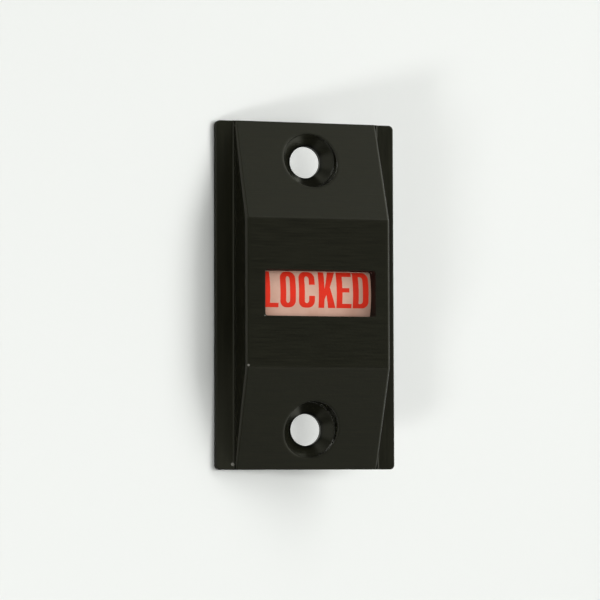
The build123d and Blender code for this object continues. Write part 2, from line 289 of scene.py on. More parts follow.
@dataclass(frozen=True)
class BlackAnodised:
    """Satin black anodised aluminium: milled across on the rib, drawn lengthwise on the flanges.

    Places are in millimetres from the middle of the housing's back. What is cut is every face that turns well
    away from the front and the back.
    """
    dye: Colour = srgb(15, 15, 9)
    rubbed: Colour = srgb(25, 25, 16)
    # Painted shade for the window's walls and the screw seats' throats.
    painted_shade: Colour = srgb(7, 8, 6)
    # Painted light for the lower part of the left flange.
    flange_light: Colour = srgb(44, 44, 36)
    # Edge wear, and a painted highlight along the rib's creases.
    wear_and_crease_highlight: Colour = srgb(70, 68, 62)
    bare: Colour = srgb(122, 120, 114)
    sheen: Colour = (1.0, 1.0, 0.84)
    milling: Grain = Grain((0.12, 1.0, 3.6), detail=4.0, rough=0.6)
    drawing: Grain = Grain((3.2, 1.0, 0.10), detail=4.0, rough=0.6)
    etching: Grain = Grain((1.6, 2.4, 2.4), detail=5.0, rough=0.7)
    clouding: Grain = Grain(scale=0.16)
    rubbing: Grain = Grain(scale=1.3)
    line_span: Span = (0.2, 0.8)
    rubbed_span: Span = (0.35, 0.7)
    flange_light_share: float = 0.5
    edge_share: float = 0.12
    crease_highlight_share: float = 0.08
    cut_facing: float = 0.9
    rib_half: float = 16.4
    rib_foot: float = -1.7
    side: float = 20.2
    window_half: float = 14.0
    window_up: float = 6.0
    hole_up: float = 29.4
    bore: float = 3.6
    throat: Span = (3.7, 4.3)
    rim: Span = (5.2, 7.1)
    lit_flange_depth: float = -1.0
    lit_flange_down: Span = (4.0, 26.0)
    crease_up: float = 16.2
    crease_half: float = 0.5
    edge_radius: float = 0.26
    rim_radius: float = 0.75
    rough_flat: float = 0.24
    rough_lines: float = 0.14
    rough_etched: float = 0.08
    rough_clouds: float = 0.06
    rough_cut: float = 0.13
    rough_cut_etched: float = 0.05
    rough_side: float = 0.45
    rough_window: float = 0.7
    rough_bore: float = 0.5
    relief: float = 0.028
    relief_lines: float = 0.35
    relief_etched: float = 0.65
    relief_lost: float = 0.7
    nicks: tuple[Nick, ...] = (
        Nick((-15.8, -11.1, -15.7), 0.24), Nick((-16.75, -1.6, -36.9), 0.34),
        Nick((13.0, -8.3, 4.8), 0.30), Nick((-12.1, -11.1, -5.0), 0.14),
    )

    def areas(self, graph: Graph, place: Signal) -> PlateAreas:
        """Tells the housing's parts from each other by their places.

        Args:
            graph: the material's tree.
            place: the place on the housing.

        Returns:
            The parts.
        """
        across, depth, up = graph.split(place)
        flat_place = graph.stretch(place, (1.0, 0.0, 1.0))
        away = graph.maths("MINIMUM", *(graph.vector_maths("DISTANCE", flat_place, (0, 0, z))
                                        for z in (-self.hole_up, self.hole_up)))
        _, facing, _ = graph.split(graph.node("ShaderNodeNewGeometry", output="True Normal"))
        cut = abs(facing) < self.cut_facing
        rib = (abs(across) < self.rib_half) * (depth < self.rib_foot)
        rim_start, rim_end = self.rim
        left_flange = (across < -self.rib_half) * (depth < self.lit_flange_depth) * (1 - cut)
        return PlateAreas(
            rib=rib,
            cut=cut,
            side=cut * (abs(across) > self.side),
            window=cut * (abs(across) < self.window_half) * (abs(up) < self.window_up),
            throat=cut * (1 - away.between(*self.throat)),
            bore=cut * (away < self.bore),
            rim=(away > rim_start) * (away < rim_end),
            # The lower part of the left flange, where painted light lightens the colour.
            lit_flange=left_flange * (-up).between(*self.lit_flange_down),
            # A thin band along the rib's creases, where a painted highlight lightens the colour.
            crease_highlight=rib * (1 - abs(abs(up) - self.crease_up).between(0.0, self.crease_half)),
        )

    def colour(self, graph: Graph, place: Signal, areas: PlateAreas, lines: Signal, edge: Signal) -> Signal:
        """The dye, rubbed along the lines, worn at the edges and chipped at the nicks, with painted light and
        shade.

        Args:
            graph: the material's tree.
            place: the place on the housing.
            areas: the housing's parts.
            lines: the tool's lines, from 0 to 1.
            edge: 1 at a rubbed edge.

        Returns:
            The colour.
        """
        colour = graph.mix(lines, self.dye, self.rubbed)
        # Painted light: the lower part of the left flange is made lighter.
        colour = graph.mix(areas.lit_flange * self.flange_light_share, colour, self.flange_light)
        # Real wear at the edges, and a painted highlight along the rib's creases.
        colour = graph.mix(edge * self.edge_share + areas.crease_highlight * self.crease_highlight_share, colour, self.wear_and_crease_highlight)
        # Painted shade inside the window and in the throats of the screw seats.
        colour = graph.mix(graph.maths("MAXIMUM", areas.window, areas.throat), colour, self.painted_shade)
        chips = sum(graph.vector_maths("DISTANCE", place, nick.place) < nick.size for nick in self.nicks)
        return graph.mix(chips, colour, self.bare)

    def material(self) -> bpy.types.Material:
        """Builds the material.

        Returns:
            The material.
        """
        graph, place = Graph.on_piece("black_anodised")
        areas = self.areas(graph, place)
        milled, drawn = graph.noise(place, self.milling), graph.noise(place, self.drawing)
        lines = graph.pick(areas.rib, drawn, milled).between(*self.line_span)
        etched, clouds = graph.noise(place, self.etching), graph.noise(place, self.clouding)
        crisp, wide = graph.soft_edges(self.edge_radius), graph.soft_edges(self.rim_radius)
        rounded = graph.blend(areas.rim, crisp, wide)
        edge = graph.edges(rounded) * graph.noise(place, self.rubbing).between(*self.rubbed_span)
        flat = (self.rough_flat + self.rough_lines * lines + self.rough_etched * etched
                + self.rough_clouds * clouds)
        rough = graph.pick(areas.cut, flat, self.rough_cut + self.rough_cut_etched * etched)
        rough = (rough + self.rough_side * areas.side + self.rough_window * areas.window
                 + self.rough_bore * areas.bore)
        height = self.relief_lines * lines + self.relief_etched * etched
        height = height * (1 - self.relief_lost * areas.cut)
        return graph.surface(
            Base_Color=self.colour(graph, place, areas, lines, edge), Roughness=rough,
            Normal=graph.bump(height, self.relief, rounded), Specular_Tint=self.sheen)


@dataclass(frozen=True)
class ZincPlate:
    """Pressed steel sheet with clear zinc plate: faint rolling lines, cloudy patches and brighter edges."""
    name: str = "zinc_plate"
    clear: Colour = srgb(196, 199, 204)
    dull: Colour = srgb(150, 153, 156)
    edge_bright: Colour = srgb(222, 224, 226)
    rolling: Grain = Grain((5.0, 5.0, 0.12))
    clouding: Grain = Grain(scale=0.5, detail=4.0)
    crystals: Grain = Grain(scale=14.0, detail=2.0)
    dull_span: Span = (0.35, 0.7)
    dull_share: float = 0.6
    edge_share: float = 0.5
    edge_radius: float = 0.12
    rough: float = 0.26
    rough_clouds: float = 0.16
    rough_rolled: float = 0.08
    relief: float = 0.003

    def material(self) -> bpy.types.Material:
        """Builds the material.

        Returns:
            The material.
        """
        graph, place = Graph.on_piece(self.name)
        rolled, clouds = graph.noise(place, self.rolling), graph.noise(place, self.clouding)
        rounded = graph.soft_edges(self.edge_radius)
        colour = graph.mix(clouds.between(*self.dull_span) * self.dull_share, self.clear, self.dull)
        colour = graph.mix(graph.edges(rounded) * self.edge_share, colour, self.edge_bright)
        rough = self.rough + self.rough_clouds * clouds + self.rough_rolled * rolled
        height = 0.5 * rolled + 0.5 * graph.noise(place, self.crystals)
        return graph.surface(Base_Color=colour, Roughness=rough, Metallic=1.0,
                             Normal=graph.bump(height, self.relief, rounded))


class Axis(Enum):
    """The direction round which a piece was turned, as a stretch that draws rings round it."""
    X = (6.0, 0.2, 0.2)
    Y = (0.2, 6.0, 0.2)


@dataclass(frozen=True)
class TurnedSteel:
    """Bright turned steel, with fine tool rings round its own axis."""
    name: str
    axis: Axis = Axis.X
    bright: Colour = srgb(206, 205, 201)
    stained: Colour = srgb(158, 156, 150)
    staining: Grain = Grain(scale=0.7, detail=4.0)
    stained_span: Span = (0.4, 0.75)
    ring_scale: float = 1.5
    edge_radius: float = 0.08
    rough: float = 0.16
    rough_rings: float = 0.14
    rough_stains: float = 0.12
    relief: float = 0.004

    def material(self) -> bpy.types.Material:
        """Builds the material.

        Returns:
            The material.
        """
        graph, place = Graph.on_piece(self.name)
        rings = graph.noise(place, Grain(self.axis.value, self.ring_scale))
        stains = graph.noise(place, self.staining)
        colour = graph.mix(stains.between(*self.stained_span), self.bright, self.stained)
        rough = self.rough + self.rough_rings * rings + self.rough_stains * stains
        normal = graph.bump(rings, self.relief, graph.soft_edges(self.edge_radius))
        return graph.surface(Base_Color=colour, Roughness=rough, Metallic=1.0, Normal=normal)


@dataclass(frozen=True)
class SpringSteel:
    """Drawn spring wire and clips, oil blued and a little bright where they rub."""
    name: str = "spring_steel"
    blued: Colour = srgb(88, 86, 84)
    rubbed: Colour = srgb(150, 148, 144)
    rubbing: Grain = Grain(scale=1.1, detail=4.0)
    scratching: Grain = Grain((9.0, 1.2, 1.2))
    rubbed_span: Span = (0.45, 0.7)
    edge_radius: float = 0.05
    rough: float = 0.24
    rough_patches: float = 0.2
    relief: float = 0.003

    def material(self) -> bpy.types.Material:
        """Builds the material.

        Returns:
            The material.
        """
        graph, place = Graph.on_piece(self.name)
        patches = graph.noise(place, self.rubbing)
        colour = graph.mix(patches.between(*self.rubbed_span), self.blued, self.rubbed)
        rounded = graph.soft_edges(self.edge_radius)
        normal = graph.bump(graph.noise(place, self.scratching), self.relief, rounded)
        return graph.surface(Base_Color=colour, Roughness=self.rough + self.rough_patches * patches,
                             Metallic=1.0, Normal=normal)


@dataclass(frozen=True)
class SinteredBronze:
    """Porous bearing bronze, soaked with oil."""
    bright: Colour = srgb(176, 128, 74)
    oiled: Colour = srgb(150, 104, 58)
    pore: Colour = srgb(82, 56, 34)
    oiling: Grain = Grain(scale=0.8)
    scatter: Grain = Grain(scale=4.0, detail=2.0)
    scatter_span: Span = (0.4, 0.6)
    pore_scale: float = 6.0
    pore_span: Span = (0.10, 0.34)
    edge_radius: float = 0.06
    rough: float = 0.30
    rough_oiled: float = 0.25
    relief: float = 0.012

    def material(self) -> bpy.types.Material:
        """Builds the material.

        Returns:
            The material.
        """
        graph, place = Graph.on_piece("bronze")
        apart = graph.node("ShaderNodeTexVoronoi", {}, {"Vector": place, "Scale": self.pore_scale},
                           "Distance")
        scattered = graph.noise(place, self.scatter).between(*self.scatter_span)
        pores = (1 - apart.between(*self.pore_span)) * scattered
        oil = graph.noise(place, self.oiling)
        colour = graph.mix(pores, graph.mix(oil, self.bright, self.oiled), self.pore)
        normal = graph.bump(1 - pores, self.relief, graph.soft_edges(self.edge_radius))
        return graph.surface(Base_Color=colour, Roughness=self.rough + self.rough_oiled * oil,
                             Metallic=1.0, Normal=normal)


@dataclass(frozen=True)
class Moulding:
    """Moulded acetal: an even skin with faint flow marks, a spark texture and a little dust."""
    name: str
    colour: Colour
    shade: Colour
    flowing: Grain = Grain((0.15, 0.5, 0.5))
    sparking: Grain = Grain(scale=7.0, detail=2.0)
    dusting: Grain = Grain(scale=2.2, detail=4.0)
    flow_span: Span = (0.3, 0.7)
    dust_span: Span = (0.62, 0.80)
    dust_share: float = 0.25
    edge_radius: float = 0.10
    rough: float = 0.36
    rough_flow: float = 0.10
    rough_spark: float = 0.06
    relief: float = 0.006

    def material(self) -> bpy.types.Material:
        """Builds the material.

        Returns:
            The material.
        """
        graph, place = Graph.on_piece(self.name)
        flow, spark = graph.noise(place, self.flowing), graph.noise(place, self.sparking)
        dust = graph.noise(place, self.dusting).between(*self.dust_span)
        colour = graph.mix(flow.between(*self.flow_span), self.colour, self.shade)
        colour = graph.mix(dust * self.dust_share, colour, self.shade)
        rough = self.rough + self.rough_flow * flow + self.rough_spark * spark
        normal = graph.bump(spark, self.relief, graph.soft_edges(self.edge_radius))
        return graph.surface(Base_Color=colour, Roughness=rough, Normal=normal)


@dataclass(frozen=True)
class PrintedFilm:
    """The pale film under the lettering, a little aged, with painted shade towards its ends, and a satin
    skin.
    """
    name: str
    fresh: Colour = srgb(228, 186, 166)
    aged: Colour = srgb(220, 174, 153)
    # Painted shade for the film's ends, next to the window's walls.
    painted_end_shade: Colour = srgb(120, 96, 84)
    ageing: Grain = Grain(scale=0.25, detail=4.0)
    fibres: Grain = Grain(scale=5.0)
    aged_span: Span = (0.3, 0.7)
    right_span: Span = (9.5, 13.2)
    right_share: float = 0.5
    left_span: Span = (6.5, 12.5)
    left_share: float = 0.3
    rough: float = 0.42
    rough_fibres: float = 0.12
    relief: float = 0.002

    def material(self) -> bpy.types.Material:
        """Builds the material.

        Returns:
            The material.
        """
        graph, place = Graph.on_piece(self.name)
        across, _, _ = graph.split(place)
        fibre = graph.noise(place, self.fibres)
        colour = graph.mix(graph.noise(place, self.ageing).between(*self.aged_span), self.fresh, self.aged)
        # Painted shade towards both ends of the film.
        right = across.between(*self.right_span) * self.right_share
        left = (-across).between(*self.left_span) * self.left_share
        return graph.surface(Base_Color=graph.mix(right + left, colour, self.painted_end_shade),
                             Roughness=self.rough + self.rough_fibres * fibre,
                             Normal=graph.bump(fibre, self.relief))


@dataclass(frozen=True)
class Ink:
    """Screen-printed ink, a little uneven in strength."""
    name: str
    full: Colour
    thin: Colour
    strength: Grain = Grain(scale=0.6, detail=4.0)
    screen: Grain = Grain(scale=6.0, detail=2.0)
    thin_span: Span = (0.35, 0.75)
    rough: float = 0.38
    rough_screen: float = 0.12
    relief: float = 0.002

    def material(self) -> bpy.types.Material:
        """Builds the material.

        Returns:
            The material.
        """
        graph, place = Graph.on_piece(self.name)
        screen = graph.noise(place, self.screen)
        colour = graph.mix(graph.noise(place, self.strength).between(*self.thin_span), self.full, self.thin)
        return graph.surface(Base_Color=colour, Roughness=self.rough + self.rough_screen * screen,
                             Normal=graph.bump(screen, self.relief))


@dataclass(frozen=True)
class Rubber:
    """Soft black rubber with a chalky bloom."""
    black: Colour = srgb(30, 30, 31)
    bloom: Colour = srgb(66, 66, 66)
    chalking: Grain = Grain(scale=1.5, detail=5.0)
    skin: Grain = Grain(scale=11.0, detail=2.0)
    bloom_span: Span = (0.45, 0.8)
    bloom_share: float = 0.5
    edge_radius: float = 0.1
    rough: float = 0.72
    rough_chalk: float = 0.18
    relief: float = 0.02

    def material(self) -> bpy.types.Material:
        """Builds the material.

        Returns:
            The material.
        """
        graph, place = Graph.on_piece("black_rubber")
        chalk = graph.noise(place, self.chalking)
        colour = graph.mix(chalk.between(*self.bloom_span) * self.bloom_share, self.black, self.bloom)
        normal = graph.bump(graph.noise(place, self.skin), self.relief, graph.soft_edges(self.edge_radius))
        return graph.surface(Base_Color=colour, Roughness=self.rough + self.rough_chalk * chalk,
                             Normal=normal)


def dress(node: str, material: bpy.types.Material) -> str:
    """Gives a CAD node its finish.

    Args:
        node: the node's name.
        material: the finish.

    Returns:
        The node's name.
    """
    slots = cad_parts[node].data.materials
    slots.clear()
    slots.append(material)
    return node


@dataclass(frozen=True)
class Plate:
    """The housing, which is all that shows from the front apart from the drum's legend."""
    finish: BlackAnodised = BlackAnodised()

    def build(self) -> list[str]:
        """Dresses the housing."""
        return [dress("housing", self.finish.material())]


@dataclass(frozen=True)
class Carrier:
    """The pressed bracket with its screws, washers, bushes and stop pads."""
    sheet: ZincPlate = ZincPlate()
    screws: TurnedSteel = TurnedSteel("screw_steel", Axis.Y)
    washers: SpringSteel = SpringSteel("washer_steel")
    bushes: SinteredBronze = SinteredBronze()
    pads: Rubber = Rubber()

    def build(self) -> list[str]:
        """Dresses the bracket's pieces.

        Returns:
            The pieces' names.
        """
        bronze = self.bushes.material()
        return [
            dress("carrier_bracket", self.sheet.material()),
            dress("bracket_screws", self.screws.material()),
            dress("lock_washers", self.washers.material()),
            dress("left_bush", bronze),
            dress("right_bush", bronze),
            dress("stop_pads", self.pads.material()),
        ]


@dataclass(frozen=True)
class Pivot:
    """The drum's shaft, its clips and the return spring."""
    shaft: TurnedSteel = TurnedSteel("pin_steel")
    clips: SpringSteel = SpringSteel()
    wire: SpringSteel = SpringSteel("spring_wire", srgb(104, 100, 94), srgb(168, 164, 156))

    def build(self) -> list[str]:
        """Dresses the shaft, the clips and the spring.

        Returns:
            The pieces' names.
        """
        return [
            dress("pivot_pin", self.shaft.material()),
            dress("pivot_clips", self.clips.material()),
            dress("return_spring", self.wire.material()),
        ]


@dataclass(frozen=True)
class Crank:
    """The arm behind the drum, with the pin and roller that the lock moves."""
    arm: ZincPlate = ZincPlate("arm_zinc")
    rivets: TurnedSteel = TurnedSteel("rivet_steel")
    pin: TurnedSteel = TurnedSteel("drive_steel")
    washer: TurnedSteel = TurnedSteel("washer_bright")
    clip: SpringSteel = SpringSteel("clip_steel")
    roller: Moulding = Moulding("black_acetal", srgb(30, 30, 32), srgb(44, 44, 46))

    def build(self) -> list[str]:
        """Dresses the crank's pieces.

        Returns:
            The pieces' names.
        """
        return [
            dress("crank_arm", self.arm.material()),
            dress("arm_rivets", self.rivets.material()),
            dress("drive_pin", self.pin.material()),
            dress("roller_washer", self.washer.material()),
            dress("roller_clip", self.clip.material()),
            dress("drive_roller", self.roller.material()),
        ]


@dataclass(frozen=True)
class Glyphs:
    """Plain condensed capitals, drawn as closed outlines in millimetres.

    A gap, a foot, a crotch, a waist and a reach are shares of the height, limbs and posts are shares of the
    stem, and the E's middle bar is a share of its width. The K's fork and knee are each so many millimetres
    from the stem and at a share of the height.
    """
    height: float = 7.8
    stem: float = 1.32
    bar: float = 0.95
    corner: float = 1.45
    corner_inside: float = 0.60
    corner_steps: int = 7
    c_gap: Span = (0.33, 0.64)
    e_middle: float = 0.84
    k_limb: float = 1.26
    k_inset: float = 0.08
    k_foot: float = 0.24
    k_crotch: float = 0.52
    k_fork: Point = (0.42, 0.36)
    k_knee: Point = (1.22, 0.575)
    p_waist: float = 0.42
    n_post: float = 0.92
    n_limb: float = 1.1
    n_reach: float = 0.62

    def arc(self, x: float, y: float, radius: float, start: float, end: float) -> Outline:
        """Points on an arc.

        Args:
            x: the centre's place across.
            y: the centre's place up.
            radius: the arc's radius.
            start: where it starts, in degrees.
            end: where it ends, in degrees.

        Returns:
            The points in order.
        """
        turns = [math.radians(start + (end - start) * step / self.corner_steps)
                 for step in range(self.corner_steps + 1)]
        return [(x + radius * math.cos(turn), y + radius * math.sin(turn)) for turn in turns]

    def oval(self, low: Point, high: Point, radius: float) -> Outline:
        """A rectangle with round corners.

        Args:
            low: its left bottom corner.
            high: its right top corner.
            radius: the corners' radius.

        Returns:
            Its outline.
        """
        (left, base), (right, top) = low, high
        return (self.arc(right - radius, top - radius, radius, 0, 90)
                + self.arc(left + radius, top - radius, radius, 90, 180)
                + self.arc(left + radius, base + radius, radius, 180, 270)
                + self.arc(right - radius, base + radius, radius, 270, 360))

    def bowl(self, low: Point, high: Point, radius: float) -> Outline:
        """A rectangle with round corners on its right side only.

        Args:
            low: its left bottom corner.
            high: its right top corner.
            radius: the right corners' radius.

        Returns:
            Its outline.
        """
        (left, base), (right, top) = low, high
        return ([(left, base)] + self.arc(right - radius, base + radius, radius, 270, 360)
                + self.arc(right - radius, top - radius, radius, 0, 90) + [(left, top)])

    def draw_l(self, width: float) -> list[Outline]:
        """A stem and a foot."""
        top, stem, bar = self.height, self.stem, self.bar
        return [[(0, 0), (width, 0), (width, bar), (stem, bar), (stem, top), (0, top)]]

    def draw_o(self, width: float) -> list[Outline]:
        """An oval with an oval hole.

        Args:
            width: how wide the letter is.

        Returns:
            Its outline and its hole.
        """
        top, stem, bar = self.height, self.stem, self.bar
        return [self.oval((0, 0), (width, top), self.corner),
                self.oval((stem, bar), (width - stem, top - bar), self.corner_inside)]

    def draw_c(self, width: float) -> list[Outline]:
        """An oval band that is open on the right.

        Args:
            width: how wide the letter is.

        Returns:
            Its outline.
        """
        gap_low, gap_high = (share * self.height for share in self.c_gap)
        right = width - self.stem
        outside, inside = self.draw_o(width)
        return [[(width, gap_high), *outside, (width, gap_low),
                 (right, gap_low), *reversed(inside), (right, gap_high)]]

    def draw_k(self, width: float) -> list[Outline]:
        """A stem and two slanted limbs, the lower of which starts from the upper.

        Args:
            width: how wide the letter is.

        Returns:
            Its outline.
        """
        top, stem = self.height, self.stem
        limb = self.k_limb * stem
        arm_end = width - self.k_inset
        (fork_right, fork_up), (knee_right, knee_up) = self.k_fork, self.k_knee
        return [[(0, 0), (stem, 0), (stem, self.k_foot * top), (stem + fork_right, fork_up * top),
                 (width - limb, 0), (width, 0), (stem + knee_right, knee_up * top), (arm_end, top),
                 (arm_end - limb, top), (stem, self.k_crotch * top), (stem, top), (0, top)]]

    def draw_e(self, width: float) -> list[Outline]:
        """A stem and three bars, the middle one shorter.

        Args:
            width: how wide the letter is.

        Returns:
            Its outline.
        """
        top, stem, bar = self.height, self.stem, self.bar
        low, high = (top - bar) / 2, (top + bar) / 2
        short = self.e_middle * width
        return [[(0, 0), (width, 0), (width, bar), (stem, bar), (stem, low), (short, low), (short, high),
                 (stem, high), (stem, top - bar), (width, top - bar), (width, top), (0, top)]]

    def draw_d(self, width: float) -> list[Outline]:
        """A bowl with a hole.

        Args:
            width: how wide the letter is.

        Returns:
            Its outline and its hole.
        """
        top, stem, bar = self.height, self.stem, self.bar
        return [self.bowl((0, 0), (width, top), self.corner),
                self.bowl((stem, bar), (width - stem, top - bar), self.corner_inside)]

    def draw_p(self, width: float) -> list[Outline]:
        """A stem with a bowl at its upper part.

        Args:
            width: how wide the letter is.

        Returns:
            Its outline and its hole.
        """
        top, stem, bar = self.height, self.stem, self.bar
        waist = self.p_waist * top
        bowl = self.bowl((stem, waist), (width, top), self.corner)
        return [[(0, 0), (stem, 0), *bowl[:-1], (0, top)],
                self.bowl((stem, waist + bar), (width - stem, top - bar), self.corner_inside)]

    def draw_n(self, width: float) -> list[Outline]:
        """Two posts and a slanted limb.

        Args:
            width: how wide the letter is.

        Returns:
            Its outline.
        """
        top, post, limb = self.height, self.n_post * self.stem, self.n_limb * self.stem
        reach = self.n_reach * top
        return [[(0, 0), (post, 0), (post, reach), (width - limb, 0), (width, 0), (width, top),
                 (width - post, top), (width - post, top - reach), (limb, top), (0, top)]]

    def outlines(self, capital: str, width: float) -> list[Outline]:
        """The closed outlines of one letter.

        Args:
            capital: the letter.
            width: how wide it is.

        Returns:
            Its outline and any holes.
        """
        drawings = {"C": self.draw_c, "D": self.draw_d, "E": self.draw_e, "K": self.draw_k,
                    "L": self.draw_l, "N": self.draw_n, "O": self.draw_o, "P": self.draw_p}
        return drawings[capital](width)


@dataclass(frozen=True)
class Letter:
    """One capital of a word, with its left edge and its width in millimetres."""
    capital: str
    left: float
    width: float


@dataclass(frozen=True)
class Legend:
    """One state's word, printed on the film round the drum. Sizes are in millimetres, angles in degrees."""
    name: str
    film: str
    slot: str
    letters: tuple[Letter, ...]
    middle: float
    ink: Ink
    base: float = -2.97
    axis_y: float = 4.4
    radius: float = 12.0
    proud: float = 0.02
    sunk: float = 0.03
    strip: float = 0.3
    weld: float = 0.001
    glyphs: Glyphs = Glyphs()

    def flat(self) -> bpy.types.Mesh:
        """Fills the letters' outlines on a plane.

        Returns:
            A mesh with x across, y up, in millimetres.
        """
        curve = bpy.data.curves.new(self.name, "CURVE")
        curve.dimensions = "2D"
        curve.fill_mode = "BOTH"
        for letter in self.letters:
            for outline in self.glyphs.outlines(letter.capital, letter.width):
                spline = curve.splines.new("POLY")
                spline.points.add(len(outline) - 1)
                for point, (x, y) in zip(spline.points, outline):
                    point.co = (letter.left + x, self.base + y, 0, 1)
                spline.use_cyclic_u = True
        holder = bpy.data.objects.new(self.name + "_outline", curve)
        bpy.context.scene.collection.objects.link(holder)
        bpy.context.view_layer.update()
        mesh = bpy.data.meshes.new_from_object(holder)
        bpy.data.objects.remove(holder)
        return mesh

    def cut_in_strips(self, shape: bmesh.types.BMesh) -> None:
        """Cuts the flat letters across into strips that are narrow enough to follow the drum's curve.

        Args:
            shape: the flat letters.
        """
        bmesh.ops.remove_doubles(shape, verts=shape.verts, dist=self.weld)
        level = self.base
        while level < self.base + self.glyphs.height:
            level += self.strip
            everything = shape.verts[:] + shape.edges[:] + shape.faces[:]
            bmesh.ops.bisect_plane(shape, geom=everything, plane_co=(0, level, 0), plane_no=(0, 1, 0))
        bmesh.ops.recalc_face_normals(shape, faces=shape.faces)

    def thicken(self, shape: bmesh.types.BMesh) -> None:
        """Gives the flat letters an underside in the film and lays them round the drum.

        Args:
            shape: the flat letters.
        """
        doubled = bmesh.ops.extrude_face_region(shape, geom=shape.faces[:])["geom"]
        underside = {part for part in doubled if isinstance(part, bmesh.types.BMVert)}
        for vert in shape.verts:
            vert.co = self.wrap(vert.co.x, vert.co.y, -self.sunk if vert in underside else self.proud)
        bmesh.ops.recalc_face_normals(shape, faces=shape.faces)

    def wrap(self, x: float, up: float, height: float) -> Vector:
        """Carries a point of the plane onto the drum.

        Args:
            x: its place across.
            up: its place above the legend's middle, as seen from the front.
            height: how far it stands off the film.

        Returns:
            The point in metres.
        """
        turn = math.asin(up / self.radius) + math.radians(self.middle)
        reach = self.radius + height
        return Vector((x, self.axis_y - reach * math.cos(turn), reach * math.sin(turn))) * MM

    def build(self) -> list[str]:
        """Dresses the film and lays the word on it.

        Returns:
            The film's name and the word's.
        """
        dress(self.film, PrintedFilm(self.film).material())
        mesh = self.flat()
        shape = bmesh.new()
        shape.from_mesh(mesh)
        self.cut_in_strips(shape)
        self.thicken(shape)
        shape.to_mesh(mesh)
        shape.free()
        mesh.materials.clear()
        mesh.materials.append(self.ink.material())
        word = bpy.data.objects.new(self.name, mesh)
        bpy.context.scene.collection.objects.link(word)
        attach(word, "indicator")
        return [self.film, self.name]


@dataclass(frozen=True)
class Drum:
    """The moulded drum and its two legends, one pitch apart."""
    pitch: float = 60.0
    skin: Moulding = Moulding("white_acetal", srgb(226, 224, 216), srgb(212, 209, 199))
    red: Ink = Ink("red_ink", srgb(236, 52, 32), srgb(226, 54, 36))
    green: Ink = Ink("green_ink", srgb(22, 132, 66), srgb(28, 120, 64))
    locked: tuple[Letter, ...] = (
        Letter("L", -11.2, 3.25), Letter("O", -7.58, 3.5), Letter("C", -3.36, 3.62),
        Letter("K", 1.13, 3.88), Letter("E", 5.22, 3.46), Letter("D", 8.95, 3.58),
    )
    opened: tuple[Letter, ...] = (
        Letter("O", -7.2, 3.5), Letter("P", -2.7, 3.45), Letter("E", 1.75, 3.05), Letter("N", 5.8, 3.6),
    )
    opened_base: float = -3.6

    def build(self) -> list[str]:
        """Dresses the drum and prints both legends.

        Returns:
            The pieces' names.
        """
        locked = Legend("locked_word", "locked_label", "locked_film", self.locked, 0, self.red)
        opened = Legend("open_word", "open_label", "open_film", self.opened, self.pitch, self.green,
                        base=self.opened_base)
        return [dress("indicator_drum", self.skin.material()), *locked.build(), *opened.build()]


class Lit(Enum):
    """What a lamp falls on."""
    ALL = "all"
    BOARD = "board"
    OBJECT = "object"


@dataclass(frozen=True)
class SoftBox:
    """A soft lamp that faces the object. Angles are in degrees, sizes in metres and power in watts."""
    name: str
    azimuth: float
    elevation: float
    size: float
    power: float
    lit: Lit = Lit.ALL
    tall: float = 1.0
    gloss: bool = True
    distance: float = 0.75

    def build(self, board: bpy.types.Object) -> str:
        """Adds the lamp.

        Args:
            board: the board, which some lamps are kept to and some are kept from.

        Returns:
            The lamp's name.
        """
        outward = heading(self.azimuth, self.elevation)
        data = bpy.data.lights.new(self.name, "AREA")
        data.shape = "ELLIPSE"
        data.size = self.size
        data.size_y = self.size * self.tall
        data.energy = self.power
        lamp = bpy.data.objects.new(self.name, data)
        lamp.location = outward * self.distance
        lamp.rotation_euler = (-outward).to_track_quat("-Z", "Y").to_euler()
        bpy.context.scene.collection.objects.link(lamp)
        lamp.visible_glossy = self.gloss
        if self.lit is not Lit.ALL:
            group = bpy.data.collections.new(self.name + "_falls_on")
            group.objects.link(board)
            link = group.collection_objects[0].light_linking
            link.link_state = "INCLUDE" if self.lit is Lit.BOARD else "EXCLUDE"
            lamp.light_linking.receiver_collection = group
        return self.name


@dataclass(frozen=True)
class Viewpoint:
    """The camera, placed as the photograph was taken. Angles are in degrees, lengths in millimetres."""
    azimuth: float = -17.031
    elevation: float = -3.411
    roll: float = -0.166
    distance: float = 650.0
    aim_right: float = -0.794
    aim_up: float = -0.855
    lens: float = 177.4
    near: float = 10.0
    far: float = 20000.0

    def build(self) -> str:
        """Adds the camera and makes it the scene's.

        Returns:
            The camera's name.
        """
        turn, lean = math.radians(self.azimuth), math.radians(self.roll)
        back = heading(self.azimuth, self.elevation)
        right = Vector((math.cos(turn), math.sin(turn), 0))
        up = back.cross(right)
        side = right * math.cos(lean) + up * math.sin(lean)
        head = up * math.cos(lean) - right * math.sin(lean)
        data = bpy.data.cameras.new("camera")
        data.lens = self.lens
        data.clip_start = self.near * MM
        data.clip_end = self.far * MM
        camera = bpy.data.objects.new("camera", data)
        place = (back * self.distance + right * self.aim_right + up * self.aim_up) * MM
        camera.matrix_world = Matrix.Translation(place) @ Matrix((side, head, back)).transposed().to_4x4()
        bpy.context.scene.collection.objects.link(camera)
        bpy.context.scene.camera = camera
        return camera.name


